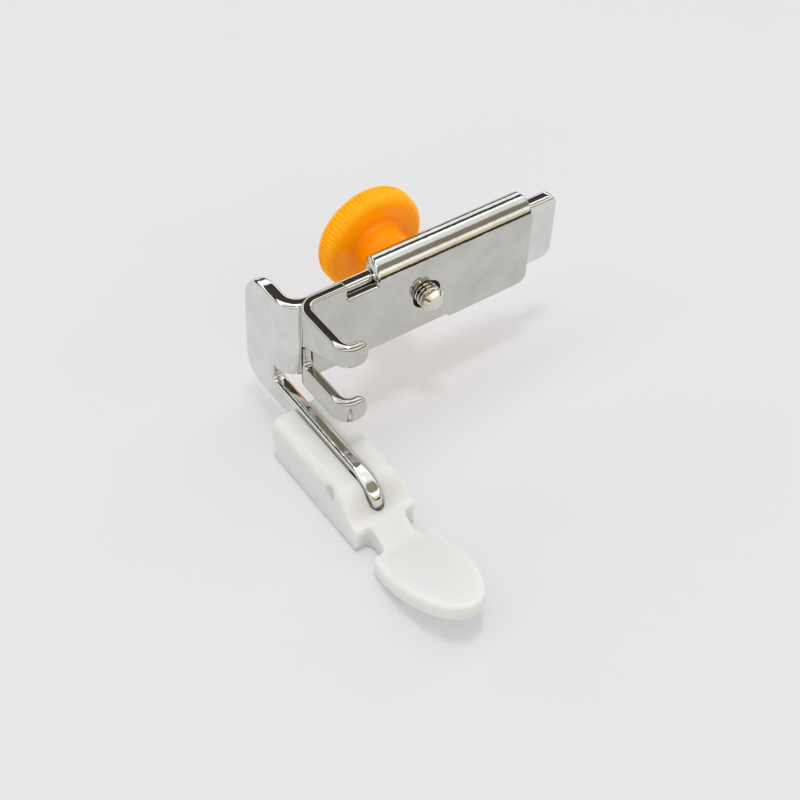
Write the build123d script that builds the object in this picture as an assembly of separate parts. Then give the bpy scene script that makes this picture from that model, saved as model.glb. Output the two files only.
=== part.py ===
from build123d import *
import math
import os

# Adjustable slide-bar presser foot for a low-shank sewing machine, in millimetres.
# The origin is on the presser bar's axis, level with the bar's clamp screw.
# +X runs along the slide bar, -Y points to the toe and +Z up the presser bar.

# What the machine asks for
bar_channel = 7.2            # clear depth of the fork, for a presser bar of about 7 mm
shank_height = 15.0          # clamp screw centre down to the underside of the sole

# Sheet metal
bracket_sheet = 1.25         # thickness of the shank bracket
carrier_sheet = 1.7          # thickness of the slide carrier
slide_gap = 0.1              # room between the slide bar and each face that guides it
carrier_edge = 0.35          # rounding of the carrier's edges

# Shank bracket
fork_top = 6.6               # the fork and the roll end level at the top
fork_bottom = -5.1
step_x = 16.0                # right of this small step the back plate is deeper
step_depth = 0.5
plate_end = 27.8
plate_corner = 1.3
fork_bend = 0.95             # inside radius between the fork and the back plate
lip_bend = 0.4               # inside radius between a finger and its lip
lip_reach = 3.6              # how far a lip curls along X
lip_height = 3.15
lip_corner = 1.3
slot_lower = -1.85           # lower edge of the clamp screw's slot
slot_closed_height = 3.0     # height of the slot at its closed end
slot_end = 3.1
slot_corner = 0.7
relief_left = 1.5            # notch that lets the roll start
relief_corner = 0.4
roll_start = 5.5
roll_return_gap = 0.35       # the roll's rear edge ends this far above the knob's stem
roll_end_corner = 0.4

# Slide carrier
bar_overhang = 4.8           # length of slide bar past the back plate
slide_bar_bottom = -4.55     # at the bar's free end, up to which it narrows
slide_bar_low_corner = 1.3
slide_bar_high_corner = 1.0
carrier_bend = 0.8           # inside radius between the slide bar and the side plate
side_offset = 0.7            # the side plate stands this far left of the fork
side_rear = 14.5
side_high_corner = 4.6
side_low_corner = 2.9
leg_rise = 3.4               # underside of the sole up to the leg's lower edge
leg_height = 3.4
leg_tip = -12.2
leg_tip_high_corner = 2.4
leg_tip_low_corner = 0.6
window_height = 2.3          # gap between the leg and the bend above it
window_setback = 0.15        # bend back to the closed end of that gap
window_corner = 0.7
window_high_corner = 0.35
travel_left = 1.5            # how far the carrier slides each way
travel_right = 8.5
screw_slot_gap = 0.15        # room on each side of the screw in the slide bar's slot

# Clamp screw and thumb knob
screw_x = 12.5
screw_diameter = 3.0
screw_tip_diameter = 2.0
screw_tip_chamfer = 0.45
screw_reach = 1.87           # length that stands out in front of the back plate
screw_hold = 5.2             # length that is moulded into the knob
thread_gap = 0.05            # room between the screw and the back plate's tapped hole
knob_diameter = 13.6
knob_thickness = 3.15
knob_back_rim = 0.7          # smooth rim behind the knurl
knob_back_round = 0.6
knob_front_chamfer = 0.3
knob_teeth = 70
tooth_depth = 0.28
stem_diameter = 6.3
stem_length = 6.67
stem_gap = 0.05              # room between the stem and the slide bar
stem_edge = 0.3
stem_flare = 1.0
dish_diameter = 12.4         # shallow cone round the stem in the knob's front face
dish_depth = 0.6
dimple_diameter = 3.0        # hollow in the middle of the knob's back
dimple_depth = 0.4

# Sole and hinge pin
sole_width = 8.0
sole_rear = 4.2
sole_rear_lean = 0.3         # the rear leans forward towards the underside
sole_front = -13.5           # front edge of the wide part, behind the needle notches
base_thickness = 3.7
ear_drop = 0.45              # top of the leg down to the top of the ears
ear_front = -12.3            # where an ear's front meets the base
ear_front_slope = 0.75       # run back of that front for each unit of height
ear_front_round = 2.0
ear_rear_round = 1.2
ear_outer_round = 1.2
ear_inner_round = 0.4
neck_width = 4.3             # width left between the needle notches
notch_length = 3.3
notch_corner = 0.9
toe_length = 17.8            # the whole ellipse, whose rear end the notches cut off
toe_width = 8.8
toe_centre = -20.9
toe_rise = 16.3              # angle of the turned-up toe, in degrees
toe_thickness = 2.4
toe_edge = 1.2               # rounding of the toe's upper edge
toe_bottom_round = 8.0
toe_top_round = 4.0
base_front_round = 0.8
neck_hold = 0.5              # length of the neck that runs into the base and the toe
sole_edge = 0.4
leg_gap = 0.15               # room on each side of the leg
groove_front_depth = 1.0     # room under the leg at the pin and in front of it
groove_rear_depth = 2.3      # room under the leg at the rear, where the sole tips most
groove_front_gap = 0.5       # room in front of the leg's tip
groove_round = 0.5
groove_end_corner = 0.8      # the groove's front end seen from above
pin_setback = 4.0            # leg's tip back to the pin
pin_rise = 1.6               # leg's lower edge up to the pin
pin_diameter = 1.6
pin_gap = 0.05               # room between the pin and the leg
pin_recess = 0.2             # the pin's ends lie below the ears' faces
pin_edge = 0.15

# Sizes that follow
inner_left = -bar_channel / 2
outer_left = inner_left - bracket_sheet
plate_front = bar_channel / 2
plate_back = plate_front + bracket_sheet
plate_bottom = fork_bottom - step_depth
lip_front = -plate_back
lip_end = outer_left + lip_reach
slot_mouth = fork_top - lip_height
bar_front = plate_back + slide_gap
bar_back = bar_front + carrier_sheet
window_end = bar_back + carrier_bend + window_setback
roll_outer = bracket_sheet + slide_gap + carrier_sheet / 2
roll_inner = roll_outer - bracket_sheet
roll_y = plate_front + roll_outer
roll_z = fork_top - roll_outer
slide_bar_end = plate_end + bar_overhang
carrier_corner_reach = roll_inner - slide_gap / 2 - carrier_edge
carrier_corner_in = carrier_sheet / 2 - carrier_edge
carrier_top = roll_z + math.sqrt(carrier_corner_reach**2 - carrier_corner_in**2) + carrier_edge
side_left = outer_left - side_offset
side_right = side_left + carrier_sheet
sole_bottom = -shank_height
leg_bottom = sole_bottom + leg_rise
leg_top = leg_bottom + leg_height
side_bottom = leg_top + window_height
screw_radius = screw_diameter / 2
screw_tip = plate_front - screw_reach
stem_front = bar_back + stem_gap
stem_radius = stem_diameter / 2
roll_return = roll_z - roll_return_gap - stem_radius
knob_radius = knob_diameter / 2
knob_front = stem_front + stem_length
knob_back = knob_front + knob_thickness
sole_x = side_left + carrier_sheet / 2
sole_left = sole_x - sole_width / 2
sole_right = sole_x + sole_width / 2
base_top = sole_bottom + base_thickness
ear_top = leg_top - ear_drop
groove_half = carrier_sheet / 2 + leg_gap
notch_front = sole_front - notch_length
toe_tip = toe_centre - toe_length / 2
toe_slope = math.tan(math.radians(toe_rise))
pin_y = leg_tip + pin_setback
pin_z = leg_bottom + pin_rise
pin_radius = pin_diameter / 2
past = 1.0                   # how far a cut runs past the material
near = 0.05                  # how far from its place an edge is looked for


def outline(points):
    """A closed face through (u, v, corner radius) points."""
    face = make_face(Polyline(*[(u, v) for u, v, radius in points], close=True))
    for u, v, radius in points:
        if radius > 0:
            corner = face.vertices().sort_by_distance((u, v, 0))[0]
            face = fillet(corner, radius)
    return face


def seen_from_above(face, low, high):
    """A block whose section is drawn in X and Y."""
    return extrude(Pos(0, 0, low) * face, high - low)


def seen_from_left(face, left, right):
    """A block whose section is drawn in Y and Z."""
    return extrude(Plane.YZ.offset(left) * face, right - left)


def seen_from_front(face, front, back):
    """A block whose section is drawn in X and Z."""
    return extrude(Plane.XZ.offset(-front) * face, front - back)


def make_shank_bracket():
    fork_plan = outline([
        (lip_end, lip_front, 0),
        (outer_left, lip_front, lip_bend + bracket_sheet),
        (outer_left, plate_back, fork_bend + bracket_sheet),
        (plate_end, plate_back, 0),
        (plate_end, plate_front, 0),
        (inner_left, plate_front, fork_bend),
        (inner_left, lip_front + bracket_sheet, lip_bend),
        (lip_end, lip_front + bracket_sheet, 0),
    ])
    sheet = seen_from_above(fork_plan, plate_bottom, fork_top)

    plate_face = outline([
        (outer_left - past, fork_bottom, 0),
        (step_x, fork_bottom, 0),
        (step_x, plate_bottom, 0),
        (plate_end, plate_bottom, plate_corner),
        (plate_end, roll_z, 0),
        (relief_left, roll_z, relief_corner),
        (relief_left, fork_top, 0),
        (outer_left - past, fork_top, 0),
    ])
    sheet = sheet & seen_from_front(plate_face, lip_front - past, plate_back + past)

    clamp_slot = outline([
        (slot_end, slot_lower, slot_corner),
        (lip_front - past, slot_lower, 0),
        (lip_front - past, slot_mouth, 0),
        (lip_front + bracket_sheet, slot_mouth, 0),
        (slot_end, slot_lower + slot_closed_height, slot_corner),
    ])
    sheet = sheet - seen_from_left(clamp_slot, outer_left - past, lip_end + past)

    lip_ends = sheet.edges().filter_by(Axis.Y).filter_by_position(Axis.X, lip_end - near, lip_end + near)
    sheet = fillet(lip_ends, lip_corner)

    ring = Circle(roll_outer) - Circle(roll_inner)
    above = Pos(0, roll_outer) * Rectangle(4 * roll_outer, 2 * roll_outer)
    rear_leg = Rectangle(bracket_sheet, roll_return)
    rear_leg = Pos(roll_outer - bracket_sheet / 2, -roll_return / 2) * rear_leg
    roll_section = Pos(roll_y, roll_z) * ((ring & above) + rear_leg)
    roll = seen_from_left(roll_section, roll_start, plate_end)
    return_ends = roll.edges().filter_by(Axis.Y).group_by(Axis.Z)[0]
    sheet = sheet + fillet(return_ends, roll_end_corner)

    tapped_hole = Pos(screw_x, 0) * Circle(screw_radius + thread_gap)
    return sheet - seen_from_front(tapped_hole, plate_front - past, plate_back + past)


def make_slide_carrier():
    bar_plan = outline([
        (slide_bar_end, bar_front, 0),
        (side_left, bar_front, carrier_bend + carrier_sheet),
        (side_left, window_end, 0),
        (side_right, window_end, 0),
        (side_right, bar_back, carrier_bend),
        (slide_bar_end, bar_back, 0),
    ])
    bar_face = outline([
        (side_left, side_bottom, 0),
        (slide_bar_end, slide_bar_bottom, slide_bar_low_corner),
        (slide_bar_end, carrier_top, slide_bar_high_corner),
        (side_left, carrier_top, 0),
    ])
    bar = seen_from_above(bar_plan, leg_bottom, carrier_top)
    bar = bar & seen_from_front(bar_face, bar_front - past, window_end + past)

    side_face = outline([
        (window_end, carrier_top, 0),
        (side_rear, carrier_top, side_high_corner),
        (side_rear, leg_bottom, side_low_corner),
        (leg_tip, leg_bottom, leg_tip_low_corner),
        (leg_tip, leg_top, leg_tip_high_corner),
        (window_end, leg_top, window_corner),
    ])
    sheet = bar + seen_from_left(side_face, side_left, side_right)
    window_top = sheet.edges().sort_by_distance((sole_x, window_end, side_bottom))[0]
    sheet = fillet(window_top, window_high_corner)
    leg_edges = sheet.edges().filter_by(Axis.Y).group_by(Axis.Z)[0]
    sheet = fillet(leg_edges, carrier_edge)

    slot_left = screw_x - travel_right
    slot_right = screw_x + travel_left
    screw_slot = SlotCenterToCenter(slot_right - slot_left, screw_diameter + 2 * screw_slot_gap)
    screw_slot = Pos((slot_left + slot_right) / 2, 0) * screw_slot
    sheet = sheet - seen_from_front(screw_slot, bar_front - past, bar_back + past)

    pin_hole = Pos(pin_y, pin_z) * Circle(pin_radius + pin_gap)
    return sheet - seen_from_left(pin_hole, side_left - past, side_right + past)


def make_clamp_screw():
    section = outline([
        (0, screw_tip, 0),
        (screw_tip_diameter / 2, screw_tip, 0),
        (screw_radius, screw_tip + screw_tip_chamfer, 0),
        (screw_radius, stem_front + screw_hold, 0),
        (0, stem_front + screw_hold, 0),
    ])
    return Pos(screw_x, 0, 0) * revolve(section, Axis.Y)


def make_thumb_knob():
    dish_floor = knob_front + dish_depth
    section = outline([
        (screw_radius, stem_front, 0),
        (stem_radius, stem_front, stem_edge),
        (stem_radius, dish_floor, stem_flare),
        (dish_diameter / 2, knob_front, 0),
        (knob_radius - knob_front_chamfer, knob_front, 0),
        (knob_radius, knob_front + knob_front_chamfer, 0),
        (knob_radius, knob_back, knob_back_round),
        (dimple_diameter / 2, knob_back, 0),
        (0, knob_back - dimple_depth, 0),
        (0, stem_front + screw_hold, 0),
        (screw_radius, stem_front + screw_hold, 0),
    ])
    knob = revolve(section, Axis.Y)

    half_tooth = math.pi / knob_teeth
    rim = []
    for tooth in range(knob_teeth):
        for radius, angle in ((knob_radius, 0), (knob_radius - tooth_depth, half_tooth)):
            turn = 2 * half_tooth * tooth + angle
            rim.append((radius * math.cos(turn), radius * math.sin(turn), 0))
    valleys = Circle(knob_radius + past) - outline(rim)
    knob = knob - seen_from_front(valleys, knob_front - past, knob_back - knob_back_rim)
    return Pos(screw_x, 0, 0) * knob


def rear_at(height):
    """Where the sole's leaning rear face is at a height."""
    return sole_rear - sole_rear_lean * (ear_top - height) / (ear_top - sole_bottom)


def make_left_ear():
    ear_foot = base_top - past
    side_face = outline([
        (rear_at(ear_foot), ear_foot, 0),
        (ear_front - ear_front_slope * past, ear_foot, 0),
        (ear_front + ear_front_slope * (ear_top - base_top), ear_top, ear_front_round),
        (sole_rear, ear_top, ear_rear_round),
    ])
    ear = seen_from_left(side_face, sole_left, sole_x - groove_half)
    outer_edge = ear.edges().filter_by(Axis.Y).group_by(Axis.Z)[-1].sort_by(Axis.X)[0]
    ear = fillet(outer_edge, ear_outer_round)
    inner_edge = ear.edges().filter_by(Axis.Y).group_by(Axis.X)[-1].sort_by(Axis.Z)[-1]
    return fillet(inner_edge, ear_inner_round)


def make_sole():
    toe_lift = toe_slope * (notch_front - toe_tip + past)
    side_face = outline([
        (rear_at(sole_bottom), sole_bottom, 0),
        (notch_front, sole_bottom, toe_bottom_round),
        (toe_tip - past, sole_bottom + toe_lift, 0),
        (toe_tip - past, sole_bottom + toe_lift + toe_thickness, 0),
        (notch_front, sole_bottom + toe_thickness, toe_top_round),
        (sole_front, base_top, base_front_round),
        (rear_at(base_top), base_top, 0),
    ])
    strip = seen_from_left(side_face, sole_x - toe_width, sole_x + toe_width)
    strip_top = sole_bottom + toe_lift + toe_thickness

    base_plan = Pos(sole_x, (sole_rear + sole_front) / 2) * Rectangle(sole_width, sole_rear - sole_front)
    base = strip & seen_from_above(base_plan, sole_bottom, strip_top)
    rear_edges = base.edges().filter_by_position(Axis.Y, rear_at(sole_bottom) - near, sole_rear)
    base = fillet(rear_edges.filter_by(Axis.X, reverse=True), ear_outer_round)
    base = fillet(base.edges().filter_by(Axis.Y), sole_edge)

    toe_plan = Pos(sole_x, toe_centre) * Ellipse(toe_width / 2, toe_length / 2)
    toe_plan = toe_plan - Pos(sole_x, notch_front + toe_length / 2) * Rectangle(2 * toe_width, toe_length)
    toe = strip & seen_from_above(toe_plan, sole_bottom, strip_top)
    lower_rim = toe.edges().sort_by(Axis.Y)[:2].sort_by(Axis.Z)[0]
    toe = fillet(lower_rim, sole_edge)
    upper_rim = toe.edges().sort_by(Axis.Z)[-1]
    toe = fillet(upper_rim, toe_edge)

    half_notch = notch_length / 2
    root = Rectangle(neck_width + 2 * (notch_corner + neck_hold), neck_hold)
    neck_plan = Rectangle(neck_width, notch_length + 2 * neck_hold)
    for root_y in (half_notch + neck_hold / 2, -half_notch - neck_hold / 2):
        neck_plan = neck_plan + Pos(0, root_y) * root
    corners = neck_plan.vertices().filter_by_position(Axis.Y, -half_notch - near, half_notch + near)
    corners = corners.filter_by_position(Axis.X, -neck_width / 2 - near, neck_width / 2 + near)
    neck_plan = Pos(sole_x, sole_front - half_notch) * fillet(corners, notch_corner)
    neck = strip & seen_from_above(neck_plan, sole_bottom, strip_top)

    ear = make_left_ear()
    sole = base + neck + toe + ear + mirror(ear, Plane.YZ.offset(sole_x))
    groove = outline([
        (sole_rear + past, leg_bottom - groove_rear_depth, 0),
        (sole_rear + past, ear_top + past, 0),
        (leg_tip - groove_front_gap, ear_top + past, 0),
        (leg_tip - groove_front_gap, leg_bottom - groove_front_depth, groove_round),
        (pin_y, leg_bottom - groove_front_depth, 0),
    ])
    groove = seen_from_left(groove, sole_x - groove_half, sole_x + groove_half)
    groove_plan = outline([
        (sole_x - groove_half, sole_rear + past, 0),
        (sole_x - groove_half, leg_tip - groove_front_gap, groove_end_corner),
        (sole_x + groove_half, leg_tip - groove_front_gap, groove_end_corner),
        (sole_x + groove_half, sole_rear + past, 0),
    ])
    sole = sole - (groove & seen_from_above(groove_plan, sole_bottom, ear_top + past))
    pin_hole = Pos(pin_y, pin_z) * Circle(pin_radius)
    return sole - seen_from_left(pin_hole, sole_left - past, sole_right + past)


def make_hinge_pin():
    pin = Pos(pin_y, pin_z) * Circle(pin_radius)
    pin = seen_from_left(pin, sole_left + pin_recess, sole_right - pin_recess)
    return chamfer(pin.edges().filter_by(GeomType.CIRCLE), pin_edge)


pieces = {
    "shank_bracket": make_shank_bracket(),
    "slide_carrier": make_slide_carrier(),
    "clamp_screw": make_clamp_screw(),
    "thumb_knob": make_thumb_knob(),
    "sole": make_sole(),
    "hinge_pin": make_hinge_pin(),
}
os.makedirs("parts", exist_ok=True)
for name, solid in pieces.items():
    export_step(solid, "parts/" + name + ".step")
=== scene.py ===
import math

import bmesh
import bpy
from mathutils import Matrix, Vector


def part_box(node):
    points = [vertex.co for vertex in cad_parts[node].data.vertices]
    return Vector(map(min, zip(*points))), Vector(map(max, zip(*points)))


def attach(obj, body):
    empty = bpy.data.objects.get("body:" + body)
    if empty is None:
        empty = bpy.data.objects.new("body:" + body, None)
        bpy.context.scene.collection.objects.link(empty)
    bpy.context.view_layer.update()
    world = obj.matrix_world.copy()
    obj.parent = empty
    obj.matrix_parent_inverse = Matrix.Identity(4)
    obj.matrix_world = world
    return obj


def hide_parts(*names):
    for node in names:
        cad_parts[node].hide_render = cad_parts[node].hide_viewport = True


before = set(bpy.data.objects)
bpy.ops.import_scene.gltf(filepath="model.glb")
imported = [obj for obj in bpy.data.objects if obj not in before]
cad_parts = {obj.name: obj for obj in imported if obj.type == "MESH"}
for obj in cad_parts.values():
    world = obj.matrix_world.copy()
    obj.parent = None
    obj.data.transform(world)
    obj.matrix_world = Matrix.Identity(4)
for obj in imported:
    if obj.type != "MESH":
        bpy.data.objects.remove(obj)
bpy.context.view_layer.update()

# The looks of an adjustable slide-bar presser foot: plated sheet metal, a nickel screw,
# a knurled thumb knob and a nylon sole. Sizes are in millimetres in the part's own frame,
# and each finished piece is brought to metres when it is settled on its body.

MM = 0.001


def node_box(node):
    """Lowest and highest corner of a solid of the frame, in millimetres."""
    low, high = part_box(node)
    return low / MM, high / MM


bracket_low, bracket_high = node_box("shank_bracket")
carrier_low, carrier_high = node_box("slide_carrier")
screw_low, screw_high = node_box("clamp_screw")
knob_low, knob_high = node_box("thumb_knob")
sole_low, sole_high = node_box("sole")
pin_low, pin_high = node_box("hinge_pin")

# Modelling
PAST = 1.0                   # how far a cutter runs past the metal
NEAR = 0.01                  # how far from its place a point is looked for
SINK = 0.02                  # how far a joined shape stays inside the faces it runs along
sole_grain = 0.12            # mesh size of the moulded sole
sole_smoothing = 12          # times its edges are eased
sole_easing = 0.5            # share of the way that they move each time
BEND_STEPS = 12
ROLL_STEPS = 32
CORNER_STEPS = 8
EDGE_STEPS = 4
ROUND_STEPS = 64
TOE_STEPS = 64
TOOTH_STEPS = 6              # round each tooth of the knurl
THREAD_STEPS = 10            # along each turn of the thread
TABLE_STEPS = 128
SHARP_ANGLE = 35             # degrees between two faces from which their edge is rounded
RIM_ANGLE = 60               # and from which the toe's rim is
FLAT_ANGLE = 0.5             # up to which they count as one plane
SMOOTH_ANGLE = 40            # up to which they are shaded as one surface
ALL_SMOOTH = 180
ACROSS = 0.99                # cosine from which an edge counts as crossing the sheet
ALONG_X = (0, math.pi / 2, 0)
ALONG_Y = (math.pi / 2, 0, 0)

# Shank bracket
bracket_sheet = 1.25
bracket_edge = 0.36          # rounding of the bracket's tumbled edges
lip_edge = 0.6               # rounding of its worn lips
hole_edge = 0.08             # rounding of the screw hole's rim
hole_mouth_radius = 1.9      # wider mouth of the screw hole
hole_mouth_depth = 0.7
roll_end_round = 0.5         # how far and how long the roll draws in at its ends
roll_end_blend = 0.8         # height over which that comes in above the plate
step_x = 16.0
step_drop = 0.5              # how far the plate hangs below the fork, right of the step
fork_bend = 0.95
lip_bend = 0.9
lip_reach = 3.6
lip_height = 3.15
lip_corner = 1.3
slot_lower = -1.85
slot_closed_height = 3.0
slot_end = 3.1
slot_corner = 0.7
relief_left = 1.5
relief_corner = 0.4
roll_start = 5.5
roll_return = 0.9
roll_end_slant = 0.25        # how far the roll's left end recedes, for each millimetre of depth
plate_corner = 1.3
lip_end = bracket_low.x + lip_reach
fork_bottom = bracket_low.z + step_drop
inner_left = bracket_low.x + bracket_sheet
lip_inside = bracket_low.y + bracket_sheet
plate_front = -lip_inside
plate_back = plate_front + bracket_sheet
fork_top = bracket_high.z
roll_radius = (bracket_high.y - plate_front) / 2
roll_z = fork_top - roll_radius
slot_mouth = fork_top - lip_height

# Slide carrier
carrier_sheet = 1.7
carrier_edge = 0.5
slide_gap = 0.1
bar_bottom = -4.55           # at the bar's free end, up to which it narrows
bar_low_corner = 1.3
bar_high_corner = 1.5
carrier_bend = 1.4
side_high_corner = 4.6
side_low_corner = 2.9
side_bottom = -5.9
leg_height = 3.4
leg_tip_low_corner = 0.6
leg_tip_drop = 2.6           # height and length over which the leg's upper edge curves down to its tip
leg_tip_length = 4.6
leg_nose = 1.5               # length over which the leg's tip narrows
leg_nose_share = 0.35        # how much of its width it loses there
window_setback = 0.5
window_corner = 0.7
window_high_corner = 0.3
travel_left = 1.5
travel_right = 8.5
screw_slot_gap = 0.15
bar_front = plate_back + slide_gap
leg_top = carrier_low.z + leg_height
bend_outside = carrier_bend + carrier_sheet
bend_end = bar_front + bend_outside
window_end = bend_end + window_setback

# Clamp screw and thumb knob
screw_x = (knob_low.x + knob_high.x) / 2
screw_radius = (screw_high.x - screw_low.x) / 2
screw_tip_radius = 1.0
screw_chamfer = 0.45
thread_pitch = 0.5
thread_depth = 0.27
thread_start = 0.5           # from the tip, the thread comes in between these two places
thread_full = 1.1
thread_flank = 1.7           # steepness of the thread's flanks, and how wide its roots are
thread_root = 0.35
thread_gap = 0.05
knob_radius = (knob_high.x - knob_low.x) / 2
knob_thickness = 3.15
knob_front = knob_high.y - knob_thickness
knob_back_rim = 0.7
knob_back_round = 0.6
knob_front_round = 1.5
knob_teeth = 76
tooth_depth = 0.18
tooth_fade = 0.6             # length over which the teeth run out on the rounded front edge
tooth_end = 0.08             # and over which they end before the rear rim
stem_radius = 3.15
stem_edge = 0.3
stem_flare = 1.0
dish_depth = 0.6
dimple_radius = 1.5
dimple_depth = 0.4
dimple_edge = 0.2

# Sole and hinge pin
sole_x = (sole_low.x + sole_high.x) / 2
sole_width = 8.0
sole_rear = 4.2
sole_left = sole_x - sole_width / 2
sole_right = sole_x + sole_width / 2
sole_rear_lean = 0.3
sole_front = -13.5
base_thickness = 3.7
ear_drop = 0.45
ear_front = -12.3
ear_front_slope = 0.75
ear_front_round = 1.0
ear_foot_round = 0.7         # hollow between an ear's front and the base
ear_rear_round = 1.2
ear_outer_round = 1.2
neck_width = 4.3
notch_length = 3.3
notch_corner = 0.9
toe_length = 17.8
toe_rise = math.radians(16.3)
toe_thickness = 2.4
toe_edge = 0.5
toe_bottom_round = 8.0
toe_top_round = 1.2          # where the base's front slope runs out into the toe
base_front_round = 0.4
leg_gap = 0.1
groove_front_depth = 1.0
groove_rear_depth = 2.3
groove_front_gap = 0.2
groove_round = 0.5
groove_end_corner = 0.9
toe_width = sole_high.x - sole_low.x
toe_centre = sole_low.y + toe_length / 2
base_top = sole_low.z + base_thickness
ear_top = leg_top - ear_drop
groove_half = carrier_sheet / 2 + leg_gap
notch_front = sole_front - notch_length
pin_y = (pin_low.y + pin_high.y) / 2
pin_z = (pin_low.z + pin_high.z) / 2
pin_radius = (pin_high.z - pin_low.z) / 2
pin_gap = 0.05
pin_mouth_gap = 0.1          # round the pin's ends where they show in the moulded sole
pin_mouth_floor = 0.05       # how far their mouths go past them
plan_height = 12.0           # of the cutters that give the sole and its groove their plan
sole_cut_low = sole_low.z - PAST    # where they start

# Camera
view_azimuth = math.radians(-37.372)
view_elevation = math.radians(46.697)
view_roll = math.radians(3.063)
view_place = Vector((-70.389, -100.930, 123.446)) * MM
view_lens = 70.66
view_sensor = 36.0
view_near = 1.0

# Table and light, in metres and watts
TABLE_COLOUR = "#E4E5E9"
BACKDROP_COLOUR = "#E7E7E8"
table_radius = 0.25
table_lift = 0.35            # share of the plain background in the table's look
lamp_height = 0.45
lamp_size = 0.06
lamp_power = 0.42
studio_strength = 1.68
STUDIO_DARK = "#332E27"
# Long soft lights run along X. From the back over the top to the front: where each begins and ends, in
# degrees, and its colour. Between two of them the colour blends.
STUDIO_BANDS = [
    (0, 8, STUDIO_DARK),
    (13, 34, "#E4E6E6"),
    (40, 54, STUDIO_DARK),
    (59, 71, "#FFFFFF"),
    (75, 96, "#D2D4D6"),
    (104, 131, "#7C7568"),
    (137, 151, "#ECECEA"),
    (155, 167, "#C8BD9D"),
    (171, 180, STUDIO_DARK),
]


def deselect_all():
    """Leaves edit mode and selects nothing."""
    if bpy.context.object and bpy.context.object.mode != "OBJECT":
        bpy.ops.object.mode_set(mode="OBJECT")
    bpy.ops.object.select_all(action="DESELECT")


def take(piece):
    """Makes a piece the active one, and the only one that is selected."""
    deselect_all()
    bpy.context.view_layer.objects.active = piece
    piece.select_set(True)


def edit(piece):
    """Opens a piece in edit mode."""
    take(piece)
    bpy.ops.object.mode_set(mode="EDIT")


def draw(name, points):
    """Starts a piece as a chain of edges: a small plane merged to one point, which is extruded on."""
    deselect_all()
    bpy.ops.mesh.primitive_plane_add(size=1)
    piece = bpy.context.object
    piece.name = name
    bpy.ops.object.mode_set(mode="EDIT")
    bpy.ops.mesh.select_mode(type="VERT")
    bpy.ops.mesh.select_all(action="SELECT")
    bpy.ops.mesh.merge(type="CENTER")
    bpy.ops.transform.translate(value=points[0])
    for before, after in zip(points, points[1:]):
        extrude(Vector(after) - Vector(before))
    return piece


def extrude(way):
    """Extrudes the selection by a vector."""
    bpy.ops.mesh.extrude_region_move(TRANSFORM_OT_translate={"value": way})


def turn_about(centre, axis, angle, steps):
    """Sweeps the selection round an axis by the right-hand rule, which spin itself reverses here."""
    bpy.ops.mesh.spin(steps=steps, angle=-angle, center=centre, axis=axis)


def pick(kind, wanted):
    """In edit mode, selects only the points, or the edges by their points, that pass the test."""
    bpy.ops.mesh.select_mode(type=kind)
    bpy.ops.mesh.select_all(action="DESELECT")
    shape = bmesh.from_edit_mesh(bpy.context.object.data)
    for part in shape.verts if kind == "VERT" else shape.edges:
        ends = [part] if kind == "VERT" else part.verts
        part.select_set(all(wanted(vert.co) for vert in ends))
    bmesh.update_edit_mesh(bpy.context.object.data)


def near(place, *spots):
    """Whether a place is at one of the spots."""
    return any((place - Vector(spot)).length < NEAR for spot in spots)


def round_corners(radius, *spots):
    """Rounds corner points of a flat outline."""
    pick("VERT", lambda place: near(place, *spots))
    bpy.ops.mesh.bevel(offset=radius, segments=CORNER_STEPS, affect="VERTICES", clamp_overlap=False)


def flat(name, corners):
    """A flat face through (place, corner radius) pairs."""
    piece = draw(name, [place for place, radius in corners])
    bpy.ops.mesh.select_all(action="SELECT")
    bpy.ops.mesh.edge_face_add()
    for place, radius in corners:
        if radius > 0:
            round_corners(radius, place)
    bpy.ops.mesh.select_all(action="SELECT")
    return piece


def block(name, corners, way):
    """A flat face extruded into a closed block."""
    piece = flat(name, corners)
    extrude(way)
    tidy_shell()
    return piece


def tidy_shell():
    """Merges doubled points, turns the faces outwards and leaves edit mode."""
    bpy.ops.mesh.select_mode(type="VERT")
    bpy.ops.mesh.select_all(action="SELECT")
    bpy.ops.mesh.remove_doubles(threshold=NEAR / 10)
    bpy.ops.mesh.normals_make_consistent(inside=False)
    bpy.ops.object.mode_set(mode="OBJECT")


def face_towards(way):
    """Turns an open sheet so that its first drawn flank looks the given way."""
    shape = bmesh.from_edit_mesh(bpy.context.object.data)
    shape.normal_update()
    alike = sum(face.normal.dot(Vector(way)) * face.calc_area() for face in shape.faces)
    bpy.ops.mesh.select_all(action="SELECT")
    if alike < 0:
        bpy.ops.mesh.flip_normals()


def apply_modifier(piece, kind, **settings):
    """Gives a piece a modifier with its settings and applies it."""
    take(piece)
    modifier = piece.modifiers.new(kind.title(), kind)
    for name, value in settings.items():
        setattr(modifier, name, value)
    bpy.ops.object.modifier_apply(modifier=modifier.name)


def combine(piece, other, operation):
    """Cuts, joins or keeps what is common with another shape, which is then gone."""
    apply_modifier(piece, "BOOLEAN", operation=operation, object=other, solver="EXACT")
    bpy.data.objects.remove(other)


def thicken(piece, sheet):
    """Gives an open sheet its thickness, behind the flank that was drawn."""
    bpy.ops.object.mode_set(mode="OBJECT")
    apply_modifier(piece, "SOLIDIFY", thickness=sheet, offset=-1, use_even_offset=True)


def merge_flats(piece):
    """Joins faces that lie in one plane, so that the edges that are left are real ones."""
    edit(piece)
    bpy.ops.mesh.select_all(action="SELECT")
    bpy.ops.mesh.dissolve_limited(angle_limit=math.radians(FLAT_ANGLE))
    bpy.ops.object.mode_set(mode="OBJECT")


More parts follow.
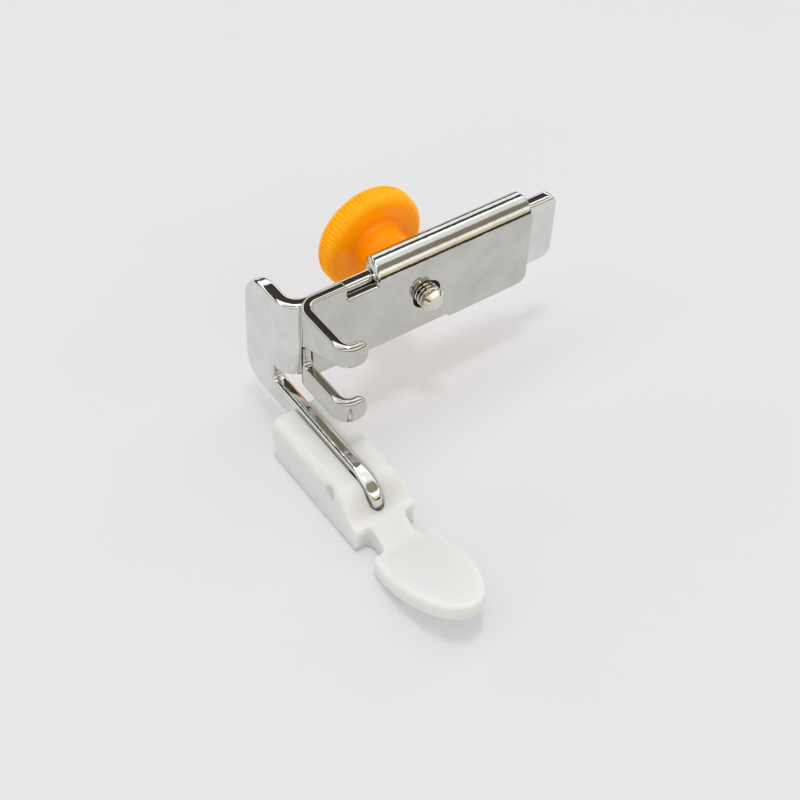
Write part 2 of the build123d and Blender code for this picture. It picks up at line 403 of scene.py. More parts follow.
def soften(piece, width, share=lambda place: 1):
    """Rounds the sharp outer edges, each to its place's share of the width."""
    shape = bmesh.new()
    shape.from_mesh(piece.data)
    weight = shape.edges.layers.float.new("bevel_weight_edge")
    for edge in shape.edges:
        if edge.is_convex and edge.calc_face_angle(0) > math.radians(SHARP_ANGLE):
            edge[weight] = share((edge.verts[0].co + edge.verts[1].co) / 2)
    shape.to_mesh(piece.data)
    shape.free()
    apply_modifier(
        piece, "BEVEL", width=width, segments=EDGE_STEPS, limit_method="WEIGHT", use_clamp_overlap=False)


def round_short_edges(piece, radius, wanted):
    """Rounds the edges that cross the sheet, along Y, at the places that pass the test."""
    edit(piece)
    pick("EDGE", wanted)
    shape = bmesh.from_edit_mesh(piece.data)
    across = []
    for edge in shape.edges:
        along = (edge.verts[0].co - edge.verts[1].co).normalized()
        if edge.select and abs(along.y) > ACROSS:
            across.append(edge)
    bpy.ops.mesh.select_all(action="DESELECT")
    for edge in across:
        edge.select_set(True)
    bmesh.update_edit_mesh(piece.data)
    bpy.ops.mesh.bevel(offset=radius, segments=CORNER_STEPS, affect="EDGES", clamp_overlap=False)
    bpy.ops.object.mode_set(mode="OBJECT")


def rod(name, radius, centre, sheet, turn):
    """A round cutter that goes through a sheet."""
    deselect_all()
    bpy.ops.mesh.primitive_cylinder_add(
        vertices=ROUND_STEPS, radius=radius, depth=sheet + 2 * PAST, location=centre, rotation=turn)
    cutter = bpy.context.object
    cutter.name = name
    bpy.ops.object.transform_apply(location=True, rotation=True, scale=True)
    return cutter


def lathe(name, corners, steps):
    """A profile of (radius, place along Y, corner radius) turned once round the screw's axis."""
    piece = draw(name, [(screw_x + radius, along, 0) for radius, along, corner in corners])
    for radius, along, corner in corners:
        if corner > 0:
            round_corners(corner, (screw_x + radius, along, 0))
    bpy.ops.mesh.select_all(action="SELECT")
    turn_about((screw_x, 0, 0), (0, 1, 0), 2 * math.pi, steps)
    tidy_shell()
    return piece


def settle(piece, material, smooth_angle=SMOOTH_ANGLE):
    """Closes the mesh, brings it to metres with its place in the mesh, and dresses it."""
    edit(piece)
    tidy_shell()
    piece.scale = (MM, MM, MM)
    bpy.ops.object.transform_apply(location=True, rotation=True, scale=True)
    bpy.ops.object.shade_smooth_by_angle(angle=math.radians(smooth_angle))
    piece.data.materials.clear()
    piece.data.materials.append(material)
    return piece


def settle_metal(piece, material):
    """Settles a sheet-metal piece, with its shading kept level across the flats."""
    settle(piece, material)
    apply_modifier(piece, "WEIGHTED_NORMAL", keep_sharp=True)
    return piece


def bracket_wear(place):
    """Share of the lips' rounding that the bracket's edges have at a place."""
    if math.hypot(place.x - screw_x, place.z) < hole_mouth_radius + NEAR:
        return hole_edge / lip_edge
    fresh = bracket_edge / lip_edge
    into_lip = (lip_inside + lip_bend - place.y) / lip_bend
    return fresh + (1 - fresh) * min(1, max(0, into_lip))


def draw_in_roll(piece, end, slant, inward):
    """Draws the roll in towards one of its ends, on rings that are cut into it there."""
    edit(piece)
    for step in range(1, CORNER_STEPS + 1):
        ring = end + inward * roll_end_round * step / CORNER_STEPS
        bpy.ops.mesh.select_all(action="SELECT")
        bpy.ops.mesh.bisect(plane_co=(ring, plate_front, 0), plane_no=(1, -slant, 0))
    bpy.ops.object.mode_set(mode="OBJECT")
    axis_y = plate_front + roll_radius
    for vert in piece.data.vertices:
        depth = inward * (vert.co.x - end - slant * (vert.co.y - plate_front))
        if -NEAR < depth < roll_end_round and vert.co.z > roll_z:
            to_go = roll_end_round - max(0, depth)
            drop = roll_end_round - math.sqrt(roll_end_round ** 2 - to_go ** 2)
            share = min(1, (vert.co.z - roll_z) / roll_end_blend)
            shrink = 1 - share * drop / roll_radius
            vert.co.y = axis_y + (vert.co.y - axis_y) * shrink
            vert.co.z = roll_z + (vert.co.z - roll_z) * shrink


def make_bracket(material):
    """One strip of sheet, folded into lips, fork and back plate and rolled over along its top."""
    start = (lip_end, lip_inside, fork_bottom)
    rise = [(lip_end, lip_inside, roll_z), (lip_end, lip_inside, fork_top)]
    piece = draw("bracket_plated", [start] + rise)
    bpy.ops.mesh.select_all(action="SELECT")

    # lip, bend, finger, bend and back plate up to the relief
    extrude((inner_left + lip_bend - lip_end, 0, 0))
    turn_about((inner_left + lip_bend, lip_inside + lip_bend, 0), (0, 0, 1), -math.pi / 2, BEND_STEPS)
    extrude((0, plate_front - fork_bend - lip_inside - lip_bend, 0))
    turn_about((inner_left + fork_bend, plate_front - fork_bend, 0), (0, 0, 1), -math.pi / 2, BEND_STEPS)
    extrude((relief_left - inner_left - fork_bend, 0, 0))

    # right of the relief only the lower part goes on
    pick("EDGE", lambda place: abs(place.x - relief_left) < NEAR and place.z < roll_z + NEAR)
    for stop, before in ((roll_start, relief_left), (step_x, roll_start), (bracket_high.x, step_x)):
        extrude((stop - before, 0, 0))
    pick("EDGE", lambda place: place.x > step_x - NEAR and abs(place.z - fork_bottom) < NEAR)
    extrude((0, 0, bracket_low.z - fork_bottom))
    pick("EDGE", lambda place: place.x > roll_start - NEAR and abs(place.z - roll_z) < NEAR)
    turn_about((0, plate_front + roll_radius, roll_z), (1, 0, 0), -math.pi, ROLL_STEPS)
    extrude((0, 0, -roll_return))
    round_corners(relief_corner, (relief_left, plate_front, roll_z))
    face_towards((0, -1, 0))
    thicken(piece, bracket_sheet)
    for vert in piece.data.vertices:
        if abs(vert.co.x - roll_start) < NEAR and vert.co.z > roll_z - roll_return - NEAR:
            vert.co.x += roll_end_slant * (vert.co.y - plate_front)

    left = bracket_low.x - PAST
    slot = block("clamp_slot", [
        ((left, slot_end, slot_lower), slot_corner),
        ((left, bracket_low.y - PAST, slot_lower), 0),
        ((left, bracket_low.y - PAST, slot_mouth), 0),
        ((left, lip_inside + lip_bend / 2, slot_mouth), 0),
        ((left, slot_end, slot_lower + slot_closed_height), slot_corner),
    ], (lip_end + PAST - left, 0, 0))
    combine(piece, slot, "DIFFERENCE")
    middle = (screw_x, (plate_front + plate_back) / 2, 0)
    tapped_hole = rod("tapped_hole", screw_radius + thread_gap, middle, bracket_sheet, ALONG_Y)
    combine(piece, tapped_hole, "DIFFERENCE")
    mouth_middle = (screw_x, plate_front + (hole_mouth_depth - PAST) / 2, 0)
    hole_mouth = rod("hole_mouth", hole_mouth_radius, mouth_middle, hole_mouth_depth - PAST, ALONG_Y)
    combine(piece, hole_mouth, "DIFFERENCE")
    merge_flats(piece)
    round_short_edges(piece, lip_corner, lambda place: abs(place.x - lip_end) < NEAR)
    low_right = (bracket_high.x, bracket_low.z)
    round_short_edges(piece, plate_corner, lambda place: near(place.xz, low_right))
    soften(piece, lip_edge, bracket_wear)
    draw_in_roll(piece, roll_start, roll_end_slant, 1)
    draw_in_roll(piece, bracket_high.x, 0, -1)
    return settle_metal(piece, material)


def make_carrier(material):
    """One sheet: a side plate with the leg below it, bent round into the slide bar."""
    left = carrier_low.x
    tip_curve = []
    for step in range(BEND_STEPS + 1):
        angle = math.pi / 2 * step / BEND_STEPS
        back = leg_tip_length * (1 - math.cos(angle))
        drop = leg_tip_drop * (1 - math.sin(angle))
        tip_curve.append(((left, carrier_low.y + back, leg_top - drop), 0))
    piece = flat("carrier_plated", [
        ((left, bend_end, carrier_high.z), 0),
        ((left, carrier_high.y, carrier_high.z), side_high_corner),
        ((left, carrier_high.y, carrier_low.z), side_low_corner),
        ((left, carrier_low.y, carrier_low.z), leg_tip_low_corner),
    ] + tip_curve + [
        ((left, window_end, leg_top), window_corner),
        ((left, window_end, side_bottom), window_high_corner),
        ((left, bend_end, side_bottom), 0),
    ])
    pick("EDGE", lambda place: abs(place.y - bend_end) < NEAR and place.z > side_bottom - NEAR)
    turn_about((left + bend_outside, bend_end, 0), (0, 0, 1), math.pi / 2, BEND_STEPS)
    extrude((carrier_high.x - left - bend_outside, 0, 0))
    pick("VERT", lambda place: near(place, (carrier_high.x, bar_front, side_bottom)))
    bpy.ops.transform.translate(value=(0, 0, bar_bottom - side_bottom))
    round_corners(bar_low_corner, (carrier_high.x, bar_front, bar_bottom))
    round_corners(bar_high_corner, (carrier_high.x, bar_front, carrier_high.z))
    face_towards((-1, -1, 0))
    thicken(piece, carrier_sheet)

    half = screw_radius + screw_slot_gap
    slot_left = screw_x - travel_right - half
    slot_right = screw_x + travel_left + half
    front = bar_front - PAST
    slot = block("screw_slot", [
        ((slot_left, front, -half), half - NEAR),
        ((slot_right, front, -half), half - NEAR),
        ((slot_right, front, half), half - NEAR),
        ((slot_left, front, half), half - NEAR),
    ], (0, carrier_sheet + 2 * PAST, 0))
    combine(piece, slot, "DIFFERENCE")
    pin_hole = rod("pin_hole", pin_radius + pin_gap, (sole_x, pin_y, pin_z), carrier_sheet, ALONG_X)
    combine(piece, pin_hole, "DIFFERENCE")
    merge_flats(piece)
    soften(piece, carrier_edge)
    nose_start = carrier_low.y + leg_nose
    for vert in piece.data.vertices:
        if vert.co.y < nose_start:
            share = (nose_start - vert.co.y) / leg_nose
            vert.co.x = sole_x + (vert.co.x - sole_x) * (1 - leg_nose_share * share ** 2)
    return settle_metal(piece, material)


def make_knob(material):
    """Turned from its profile, with the fine teeth of its rim drawn in from the round."""
    dish_floor = knob_front + dish_depth
    knurl_end = knob_high.y - knob_back_rim
    piece = lathe("knob_moulded", [
        (0, screw_high.y, 0),
        (screw_radius, screw_high.y, 0),
        (screw_radius, knob_low.y, 0),
        (stem_radius, knob_low.y, stem_edge),
        (stem_radius, dish_floor, stem_flare),
        (knob_radius, knob_front, knob_front_round),
        (knob_radius, knurl_end, 0),
        (knob_radius, knurl_end + tooth_end, 0),
        (knob_radius, knob_high.y, knob_back_round),
        (dimple_radius, knob_high.y, dimple_edge),
        (0, knob_high.y - dimple_depth, 0),
    ], knob_teeth * TOOTH_STEPS)
    for vert in piece.data.vertices:
        across, up = vert.co.x - screw_x, vert.co.z
        radius = math.hypot(across, up)
        if vert.co.y < knurl_end + NEAR and radius > knob_radius - knob_front_round:
            wave = 0.5 - 0.5 * math.cos(knob_teeth * math.atan2(up, across))
            fade = min(1, max(0, 1 - (knob_radius - radius) / tooth_fade))
            shrink = 1 - tooth_depth * wave * fade / radius
            vert.co.x = screw_x + across * shrink
            vert.co.z = up * shrink
    return settle(piece, material)


def make_screw(material):
    """Turned as a plain stud of close rings, which are drawn in to the thread and the tip's cone."""
    length = screw_high.y - screw_low.y
    rows = round(length / (thread_pitch / THREAD_STEPS))
    rings = [(screw_radius, screw_low.y + length * row / rows, 0) for row in range(rows + 1)]
    tip = (0, screw_low.y, 0)
    end = (0, screw_high.y, 0)
    piece = lathe("screw_threaded", [tip] + rings + [end], ROUND_STEPS)
    for vert in piece.data.vertices:
        across, up = vert.co.x - screw_x, vert.co.z
        radius = math.hypot(across, up)
        if radius > NEAR:
            turns = (vert.co.y - screw_low.y) / thread_pitch - math.atan2(up, across) / (2 * math.pi)
            ridge = min(1, max(0, thread_flank * abs(2 * (turns % 1) - 1) - thread_root))
            from_tip = vert.co.y - screw_low.y
            cut = min(1, max(0, (from_tip - thread_start) / (thread_full - thread_start)))
            wanted = screw_radius - thread_depth * cut * (1 - ridge)
            cone = screw_tip_radius + from_tip * (screw_radius - screw_tip_radius) / screw_chamfer
            shrink = min(wanted, cone) / radius
            vert.co.x = screw_x + across * shrink
            vert.co.z = up * shrink
    return settle(piece, material)


def rear_at(height):
    """Where the sole's leaning rear face is at a height."""
    return sole_rear - sole_rear_lean * (ear_top - height) / (ear_top - sole_low.z)


def make_ear(side):
    """One of the two ears: the wall beside the groove, with its upper outer edge well rounded."""
    foot = base_top - PAST
    inner = sole_x + side * groove_half / 2
    outer = sole_x + side * (sole_width / 2 - SINK)
    ear = block("ear", [
        ((inner, rear_at(foot) - SINK, foot), 0),
        ((inner, ear_front - 2 * ear_foot_round, foot), 0),
        ((inner, ear_front - 2 * ear_foot_round, base_top - SINK), 0),
        ((inner, ear_front, base_top - SINK), ear_foot_round),
        ((inner, ear_front + ear_front_slope * (ear_top - base_top), ear_top), ear_front_round),
        ((inner, sole_rear - SINK, ear_top), ear_rear_round),
    ], (outer - inner, 0, 0))
    edit(ear)
    pick("EDGE", lambda place: abs(place.x - outer) < NEAR and place.z > base_top + ear_foot_round)
    bpy.ops.mesh.bevel(offset=ear_outer_round, segments=CORNER_STEPS, affect="EDGES", clamp_overlap=False)
    bpy.ops.object.mode_set(mode="OBJECT")
    return ear


def round_toe(piece):
    """Rounds the toe's upper rim over into its side."""
    edit(piece)
    bpy.ops.mesh.select_mode(type="EDGE")
    bpy.ops.mesh.select_all(action="DESELECT")
    shape = bmesh.from_edit_mesh(piece.data)
    for edge in shape.edges:
        middle = (edge.verts[0].co + edge.verts[1].co) / 2
        underside = sole_low.z + math.tan(toe_rise) * (notch_front - middle.y)
        upper = middle.z > underside + toe_thickness / 2
        if middle.y < notch_front and upper and edge.calc_face_angle(0) > math.radians(RIM_ANGLE):
            edge.select_set(True)
    bmesh.update_edit_mesh(piece.data)
    bpy.ops.mesh.bevel(offset=toe_edge, segments=CORNER_STEPS, affect="EDGES", clamp_overlap=False)
    bpy.ops.object.mode_set(mode="OBJECT")


def toe_outline():
    """The toe's oval, from the right notch round the tip to the left one."""
    start_angle = math.asin((notch_front - toe_centre) / (toe_length / 2))
    outline = []
    for step in range(TOE_STEPS + 1):
        angle = start_angle - (math.pi + 2 * start_angle) * step / TOE_STEPS
        across = toe_width / 2 * math.cos(angle)
        along = toe_length / 2 * math.sin(angle)
        outline.append(((sole_x + across, toe_centre + along, sole_cut_low), 0))
    return outline


def make_sole_plan():
    """The sole from above: base, neck between the needle notches, and toe."""
    half_neck = neck_width / 2
    return block("plan", [
        ((sole_left, sole_rear, sole_cut_low), ear_outer_round),
        ((sole_right, sole_rear, sole_cut_low), ear_outer_round),
        ((sole_right, sole_front, sole_cut_low), 0),
        ((sole_x + half_neck, sole_front, sole_cut_low), notch_corner),
        ((sole_x + half_neck, notch_front, sole_cut_low), notch_corner),
    ] + toe_outline() + [
        ((sole_x - half_neck, notch_front, sole_cut_low), notch_corner),
        ((sole_x - half_neck, sole_front, sole_cut_low), notch_corner),
        ((sole_left, sole_front, sole_cut_low), 0),
    ], (0, 0, plan_height))


def make_groove():
    """The room between the ears that the leg lies and tilts in."""
    left = sole_x - groove_half
    right = left + 2 * groove_half
    front = carrier_low.y - groove_front_gap
    front_floor = carrier_low.z - groove_front_depth
    groove = block("groove", [
        ((left, sole_rear + PAST, carrier_low.z - groove_rear_depth), 0),
        ((left, sole_rear + PAST, ear_top + PAST), 0),
        ((left, front, ear_top + PAST), 0),
        ((left, front, front_floor), groove_round),
        ((left, pin_y, front_floor), 0),
    ], (2 * groove_half, 0, 0))
    groove_plan = block("groove_plan", [
        ((left, sole_rear + 2 * PAST, sole_cut_low), 0),
        ((left, front, sole_cut_low), groove_end_corner),
        ((right, front, sole_cut_low), groove_end_corner),
        ((right, sole_rear + 2 * PAST, sole_cut_low), 0),
    ], (0, 0, plan_height))
    combine(groove, groove_plan, "INTERSECT")
    return groove


def make_sole(material):
    """A strip bent up at the toe and cut to its plan, with two ears, the leg's groove and eased edges."""
    left = sole_x - toe_width
    reach = sole_low.y - PAST
    lift = math.tan(toe_rise) * (notch_front - reach)
    piece = block("sole_moulded", [
        ((left, rear_at(sole_low.z), sole_low.z), 0),
        ((left, notch_front, sole_low.z), toe_bottom_round * math.tan(toe_rise / 2)),
        ((left, reach, sole_low.z + lift), 0),
        ((left, reach, sole_low.z + lift + toe_thickness), 0),
        ((left, notch_front, sole_low.z + toe_thickness), toe_top_round),
        ((left, sole_front, base_top), base_front_round),
        ((left, rear_at(base_top), base_top), 0),
    ], (2 * toe_width, 0, 0))
    combine(piece, make_sole_plan(), "INTERSECT")
    round_toe(piece)
    for side in (-1, 1):
        combine(piece, make_ear(side), "UNION")
    combine(piece, make_groove(), "DIFFERENCE")

    # shallow mouths for the pin's ends
    for outside, pin_end, inward in ((sole_left, pin_low.x, 1), (sole_right, pin_high.x, -1)):
        floor = pin_end + inward * pin_mouth_floor
        depth = abs(floor - outside)
        middle = (floor - inward * (depth + PAST) / 2, pin_y, pin_z)
        pin_mouth = rod("pin_mouth", pin_radius + pin_mouth_gap, middle, depth - PAST, ALONG_X)
        combine(piece, pin_mouth, "DIFFERENCE")
    apply_modifier(piece, "REMESH", mode="VOXEL", voxel_size=sole_grain)
    apply_modifier(piece, "SMOOTH", factor=sole_easing, iterations=sole_smoothing)
    return settle(piece, material, ALL_SMOOTH)


def linear(hex_colour):
    """An sRGB hex colour as linear light, with full opacity."""
    channels = [int(hex_colour[place:place + 2], 16) / 255 for place in (1, 3, 5)]
    return [((c + 0.055) / 1.055) ** 2.4 if c > 0.04045 else c / 12.92 for c in channels] + [1]


def per_metre(millimetres):
    """Pattern scale at which one feature is about this long."""
    return 1 / (millimetres * MM)


def add_node(tree, kind, inputs=None, **settings):
    """Adds a node with its settings, and sets or links its inputs by name or number."""
    node = tree.nodes.new(kind)
    for name, value in settings.items():
        setattr(node, name, value)
    for name, value in (inputs or {}).items():
        if isinstance(value, bpy.types.NodeSocket):
            tree.links.new(value, node.inputs[name])
        else:
            node.inputs[name].default_value = value
    return node


def new_material(name):
    """An empty material: its tree, its shader and the place on the object."""
    material = bpy.data.materials.new(name)
    material.use_nodes = True
    tree = material.node_tree
    place = add_node(tree, "ShaderNodeTexCoord").outputs["Object"]
    return material, tree, tree.nodes["Principled BSDF"], place


def axis_distance(tree, place):
    """How far a place is from the screw's axis."""
    off_axis = add_node(tree, "ShaderNodeVectorMath", {
        0: place, 1: (screw_x * MM, 0, 0)}, operation="SUBTRACT")
    radial = add_node(tree, "ShaderNodeVectorMath", {
        0: off_axis.outputs[0], 1: (1, 0, 1)}, operation="MULTIPLY")
    reach = add_node(tree, "ShaderNodeVectorMath", {0: radial.outputs[0]}, operation="LENGTH")
    return reach.outputs["Value"]


def make_chrome(name, clean, filmed, wave_height, dent_height, hole_shade_radius):
    """Bright chrome plate on pressed and tumbled steel: a mirror that the sheet's slight waves and the
    tumbling's small dents bend, a shade duller where handling left a thin film, with fine pits and, up to
    a radius round the screw, painted shade that darkens the screw hole."""
    material, tree, shader, place = new_material(name)
    waves = add_node(tree, "ShaderNodeTexNoise", {"Vector": place, "Scale": per_metre(2.4), "Detail": 1})
    film = add_node(tree, "ShaderNodeTexNoise", {"Vector": place, "Scale": per_metre(3.5), "Detail": 5})
    dents = add_node(tree, "ShaderNodeTexNoise", {"Vector": place, "Scale": per_metre(0.9), "Detail": 3})
    pits = add_node(tree, "ShaderNodeTexNoise", {"Vector": place, "Scale": per_metre(0.2), "Detail": 2})
    patch = add_node(tree, "ShaderNodeMapRange", {
        "Value": film.outputs["Fac"], "From Min": 0.35, "From Max": 0.7, "To Min": 0, "To Max": 1})
    plate = add_node(tree, "ShaderNodeMix", {
        0: patch.outputs["Result"], 6: linear(clean), 7: linear(filmed)}, data_type="RGBA")
    # painted shade: up to this radius round the screw the plate is darkened towards near black, standing
    # for the shade in the screw hole
    hole_shade = add_node(tree, "ShaderNodeMapRange", {
        "Value": axis_distance(tree, place), "From Min": hole_shade_radius * MM,
        "From Max": (hole_shade_radius + hole_edge) * MM, "To Min": 0.85, "To Max": 0})
    tint = add_node(tree, "ShaderNodeMix", {
        0: hole_shade.outputs["Result"], 6: plate.outputs[2], 7: linear("#2A2419")}, data_type="RGBA")
    gloss = add_node(tree, "ShaderNodeMapRange", {
        "Value": film.outputs["Fac"], "From Min": 0.35, "From Max": 0.7, "To Min": 0.05, "To Max": 0.11})
    swell = add_node(tree, "ShaderNodeBump", {"Height": waves.outputs["Fac"], "Distance": wave_height * MM})
    knocks = add_node(tree, "ShaderNodeBump", {
        "Height": dents.outputs["Fac"], "Distance": dent_height * MM, "Normal": swell.outputs["Normal"]})
    skin = add_node(tree, "ShaderNodeBump", {
        "Height": pits.outputs["Fac"], "Distance": 0.0008 * MM, "Normal": knocks.outputs["Normal"]})
    tree.links.new(tint.outputs[2], shader.inputs["Base Color"])
    tree.links.new(gloss.outputs["Result"], shader.inputs["Roughness"])
    tree.links.new(skin.outputs["Normal"], shader.inputs["Normal"])
    shader.inputs["Metallic"].default_value = 1
    return material


def make_nickel():
    """Nickel plate on turned brass: a little warmer than chrome, plain on the tip and the crests of the
    thread, and darkened in its roots by painted shade."""
    material, tree, shader, place = new_material("nickel_plated_brass")
    tarnish = add_node(tree, "ShaderNodeTexNoise", {"Vector": place, "Scale": per_metre(0.5), "Detail": 4})
    plate = add_node(tree, "ShaderNodeMix", {
        0: tarnish.outputs["Fac"], 6: linear("#E8E4DA"), 7: linear("#DAD3C2")}, data_type="RGBA")
    # painted shade: the thread's roots are darkened towards dark brown, more where the thread is full
    root = add_node(tree, "ShaderNodeMapRange", {
        "Value": axis_distance(tree, place), "From Min": (screw_radius - thread_depth) * MM,
        "From Max": (screw_radius - thread_depth / 8) * MM, "To Min": 1, "To Max": 0})
    along = add_node(tree, "ShaderNodeSeparateXYZ", {"Vector": place})
    threaded = add_node(tree, "ShaderNodeMapRange", {
        "Value": along.outputs["Y"], "From Min": (screw_low.y + thread_start) * MM,
        "From Max": (screw_low.y + thread_full) * MM, "To Min": 0, "To Max": 0.9})
    root_shade = add_node(tree, "ShaderNodeMath", {
        0: root.outputs["Result"], 1: threaded.outputs["Result"]}, operation="MULTIPLY")
    tint = add_node(tree, "ShaderNodeMix", {
        0: root_shade.outputs[0], 6: plate.outputs[2], 7: linear("#3A3222")}, data_type="RGBA")
    gloss = add_node(tree, "ShaderNodeMapRange", {
        "Value": tarnish.outputs["Fac"], "From Min": 0.3, "From Max": 0.7, "To Min": 0.1, "To Max": 0.2})
    tree.links.new(tint.outputs[2], shader.inputs["Base Color"])
    tree.links.new(gloss.outputs["Result"], shader.inputs["Roughness"])
    shader.inputs["Metallic"].default_value = 1
    return material


def make_orange():
    """Daylight-orange acetal, injection moulded: light goes well into it, a painted glow lifts it all over,
    and painted shade turns it redder towards the thick stem. The skin is half matt, and a burnt grain
    is a dark speck here and there."""
    material, tree, shader, place = new_material("orange_moulded_acetal")
    cloud = add_node(tree, "ShaderNodeTexNoise", {"Vector": place, "Scale": per_metre(3.5), "Detail": 3})
    grain = add_node(tree, "ShaderNodeTexNoise", {"Vector": place, "Scale": per_metre(0.5), "Detail": 3})
    cells = add_node(tree, "ShaderNodeTexVoronoi", {"Vector": place, "Scale": per_metre(3.2)})
    thin = add_node(tree, "ShaderNodeMix", {
        0: cloud.outputs["Fac"], 6: linear("#FAB60E"), 7: linear("#FAA804")}, data_type="RGBA")
    # painted shade: from the stem outwards the colour goes from a redder orange to the plain one, for the
    # deeper shade in the thick plastic
    depth = add_node(tree, "ShaderNodeMapRange", {
        "Value": axis_distance(tree, place), "From Min": stem_radius * MM,
        "From Max": (stem_radius + knob_radius) / 2 * MM, "To Min": 1, "To Max": 0})
    dye_and_stem_shade = add_node(tree, "ShaderNodeMix", {
        0: depth.outputs["Result"], 6: thin.outputs[2], 7: linear("#FF9402")}, data_type="RGBA")
    speck = add_node(tree, "ShaderNodeMapRange", {
        "Value": cells.outputs["Distance"], "From Min": 0.03, "From Max": 0.05, "To Min": 0.7, "To Max": 0})
    tint = add_node(tree, "ShaderNodeMix", {
        0: speck.outputs["Result"], 6: dye_and_stem_shade.outputs[2], 7: linear("#6B3A08")}, data_type="RGBA")
    gloss = add_node(tree, "ShaderNodeMapRange", {
        "Value": cloud.outputs["Fac"], "From Min": 0.3, "From Max": 0.7, "To Min": 0.2, "To Max": 0.32})
    skin = add_node(tree, "ShaderNodeBump", {"Height": grain.outputs["Fac"], "Distance": 0.01 * MM})
    tree.links.new(tint.outputs[2], shader.inputs["Base Color"])
    tree.links.new(gloss.outputs["Result"], shader.inputs["Roughness"])
    tree.links.new(skin.outputs["Normal"], shader.inputs["Normal"])
    shader.inputs["IOR"].default_value = 1.48
    shader.inputs["Specular IOR Level"].default_value = 0.2
    # painted glow: the knob gives off a little orange light of its own, though it is no lamp
    shader.inputs["Emission Color"].default_value = linear("#FF8C00")
    shader.inputs["Emission Strength"].default_value = 0.21
    shader.inputs["Subsurface Weight"].default_value = 1
    shader.inputs["Subsurface Radius"].default_value = (1.0, 0.4, 0.06)
    shader.inputs["Subsurface Scale"].default_value = 1.5 * MM
    return material


def make_nylon():
    """Undyed nylon, injection moulded: milky white, with faint clouds where it flowed into the mould,
    edges and hollows that let light through, and a smooth satin skin."""
    material, tree, shader, place = new_material("natural_moulded_nylon")
    flow = add_node(tree, "ShaderNodeMapping", {"Vector": place, "Scale": (1, 0.3, 1)})
    cloud = add_node(tree, "ShaderNodeTexNoise", {
        "Vector": flow.outputs["Vector"], "Scale": per_metre(2.8), "Detail": 4})
    grain = add_node(tree, "ShaderNodeTexNoise", {"Vector": place, "Scale": per_metre(0.25), "Detail": 2})
    tint = add_node(tree, "ShaderNodeMix", {
        0: cloud.outputs["Fac"], 6: linear("#E7E7E7"), 7: linear("#E2E2E2")}, data_type="RGBA")
    gloss = add_node(tree, "ShaderNodeMapRange", {
        "Value": cloud.outputs["Fac"], "From Min": 0.3, "From Max": 0.7, "To Min": 0.42, "To Max": 0.5})
    skin = add_node(tree, "ShaderNodeBump", {"Height": grain.outputs["Fac"], "Distance": 0.003 * MM})
    tree.links.new(tint.outputs[2], shader.inputs["Base Color"])
    tree.links.new(gloss.outputs["Result"], shader.inputs["Roughness"])
    tree.links.new(skin.outputs["Normal"], shader.inputs["Normal"])
    shader.inputs["IOR"].default_value = 1.53
    shader.inputs["Subsurface Weight"].default_value = 1
    shader.inputs["Subsurface Radius"].default_value = (1.0, 0.97, 0.9)
    shader.inputs["Subsurface Scale"].default_value = 2.5 * MM
    return material


def make_pin_steel():
    """Ground steel pin: plain grey metal whose ends keep the fine marks of the cut."""
    material, tree, shader, place = new_material("ground_pin_steel")
    marks = add_node(tree, "ShaderNodeTexNoise", {"Vector": place, "Scale": per_metre(0.12), "Detail": 3})
    tint = add_node(tree, "ShaderNodeMix", {
        0: marks.outputs["Fac"], 6: linear("#DAD9D6"), 7: linear("#C6C4C0")}, data_type="RGBA")
    gloss = add_node(tree, "ShaderNodeMapRange", {
        "Value": marks.outputs["Fac"], "From Min": 0.3, "From Max": 0.7, "To Min": 0.12, "To Max": 0.25})
    tree.links.new(tint.outputs[2], shader.inputs["Base Color"])
    tree.links.new(gloss.outputs["Result"], shader.inputs["Roughness"])
    shader.inputs["Metallic"].default_value = 1
    return material


def make_table_paint():
    """Pale grey paint on a table top: nearly even, with a broad faint mottle and little gloss."""
    material, tree, shader, place = new_material("painted_table")
    mottle = add_node(tree, "ShaderNodeTexNoise", {"Vector": place, "Scale": per_metre(25), "Detail": 3})
    tint = add_node(tree, "ShaderNodeMix", {
        0: mottle.outputs["Fac"], 6: linear(TABLE_COLOUR), 7: linear("#E1E2E6")}, data_type="RGBA")
    tree.links.new(tint.outputs[2], shader.inputs["Base Color"])
    shader.inputs["Roughness"].default_value = 0.7
    shader.inputs["Specular IOR Level"].default_value = 0.2

    # the eye and the metal see some of the plain background through the shade
    ray = add_node(tree, "ShaderNodeLightPath").outputs
    seen = add_node(tree, "ShaderNodeMath", {
        0: ray["Is Camera Ray"], 1: ray["Is Glossy Ray"]}, operation="MAXIMUM")
    lift = add_node(tree, "ShaderNodeMath", {0: seen.outputs[0], 1: table_lift}, operation="MULTIPLY")
    plain = add_node(tree, "ShaderNodeEmission", {"Color": linear(BACKDROP_COLOUR)})
    both = add_node(tree, "ShaderNodeMixShader", {
        0: lift.outputs[0], 1: shader.outputs["BSDF"], 2: plain.outputs["Emission"]})
    tree.links.new(both.outputs[0], tree.nodes["Material Output"].inputs["Surface"])
    return material


def make_camera():
    """A camera at the photograph's viewpoint."""
    data = bpy.data.cameras.new("photo_view")
    data.lens = view_lens
    data.sensor_width = view_sensor
    data.clip_start = view_near * MM
    camera = bpy.data.objects.new("photo_view", data)
    bpy.context.scene.collection.objects.link(camera)
    swing = Matrix.Rotation(view_azimuth, 4, "Z")
    tilt = Matrix.Rotation(math.pi / 2 - view_elevation, 4, "X")
    roll = Matrix.Rotation(view_roll, 4, "Z")
    camera.matrix_world = Matrix.Translation(view_place) @ swing @ tilt @ roll
    bpy.context.scene.camera = camera


def make_floor():
    """The round table top that the sole stands on."""
    deselect_all()
    bpy.ops.mesh.primitive_circle_add(
        vertices=TABLE_STEPS, radius=table_radius, fill_type="NGON", location=(0, 0, sole_low.z * MM))
    floor = bpy.context.object
    floor.name = "table_top"
    floor.data.materials.append(make_table_paint())


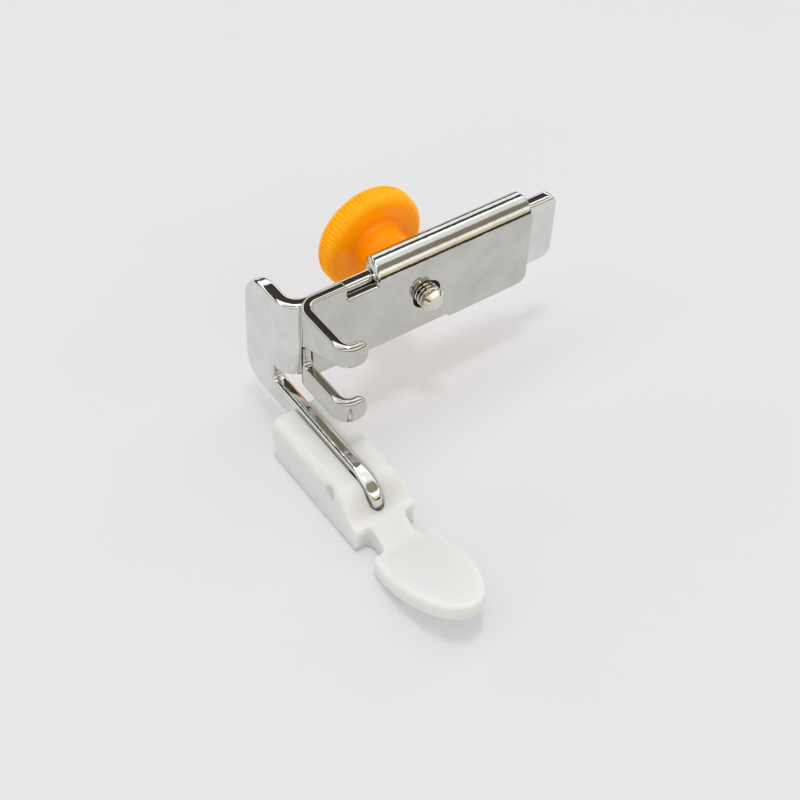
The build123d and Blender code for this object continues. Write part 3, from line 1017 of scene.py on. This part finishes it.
def make_lights():
    """A studio of soft bands of light that the eye sees as a plain backdrop, and one lamp overhead."""
    world = bpy.data.worlds.new("soft_studio")
    bpy.context.scene.world = world
    world.use_nodes = True
    tree = world.node_tree
    tree.nodes.clear()
    way = add_node(tree, "ShaderNodeTexCoord").outputs["Generated"]
    parts = add_node(tree, "ShaderNodeSeparateXYZ", {"Vector": way}).outputs
    climb = add_node(tree, "ShaderNodeMath", {0: parts["Z"], 1: parts["Y"]}, operation="ARCTAN2")
    share = add_node(tree, "ShaderNodeMath", {0: climb.outputs[0], 1: math.pi}, operation="DIVIDE")
    bands = add_node(tree, "ShaderNodeValToRGB", {"Fac": share.outputs[0]})
    stops = bands.color_ramp.elements
    stops.remove(stops[1])
    first, *others = [(angle, colour) for start, end, colour in STUDIO_BANDS for angle in (start, end)]
    stops[0].color = linear(first[1])
    for angle, colour in others:
        stops.new(angle / 180).color = linear(colour)
    studio = add_node(tree, "ShaderNodeBackground", {
        "Color": bands.outputs["Color"], "Strength": studio_strength})
    plain = add_node(tree, "ShaderNodeBackground", {"Color": linear(BACKDROP_COLOUR)})
    seen = add_node(tree, "ShaderNodeLightPath").outputs["Is Camera Ray"]
    both = add_node(tree, "ShaderNodeMixShader", {0: seen, 1: studio.outputs[0], 2: plain.outputs[0]})
    add_node(tree, "ShaderNodeOutputWorld", {"Surface": both.outputs[0]})

    bpy.ops.object.light_add(type="AREA", location=(0, 0, lamp_height))
    lamp = bpy.context.object
    lamp.name = "overhead_lamp"
    lamp.data.size = lamp_size
    lamp.data.energy = lamp_power


bpy.context.scene.view_settings.view_transform = "Standard"
# the bracket's chrome gets painted shade in its screw hole's mouth; the carrier's gets none
bracket_chrome = make_chrome(
    "chrome_plated_bracket_steel", clean="#D0CFCB", filmed="#C3C2BD", wave_height=0.014, dent_height=0.014,
    hole_shade_radius=hole_mouth_radius)
carrier_chrome = make_chrome(
    "chrome_plated_carrier_steel", clean="#E4E4E2", filmed="#D8D8D5", wave_height=0.03, dent_height=0.02,
    hole_shade_radius=0)
made = {
    "shank_bracket": (make_bracket(bracket_chrome), "bracket", "chrome_plate"),
    "slide_carrier": (make_carrier(carrier_chrome), "carrier", "chrome_plate"),
    "thumb_knob": (make_knob(make_orange()), "thumb_screw", "orange_plastic"),
    "clamp_screw": (make_screw(make_nickel()), "thumb_screw", "nickel_plate"),
    "sole": (make_sole(make_nylon()), "sole", "white_nylon"),
}
for node, (piece, body, slot) in made.items():
    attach(piece, body)
    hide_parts(node)
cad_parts["hinge_pin"].data.materials.clear()
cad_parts["hinge_pin"].data.materials.append(make_pin_steel())
make_camera()
make_floor()
make_lights()

bpy.context.view_layer.update()
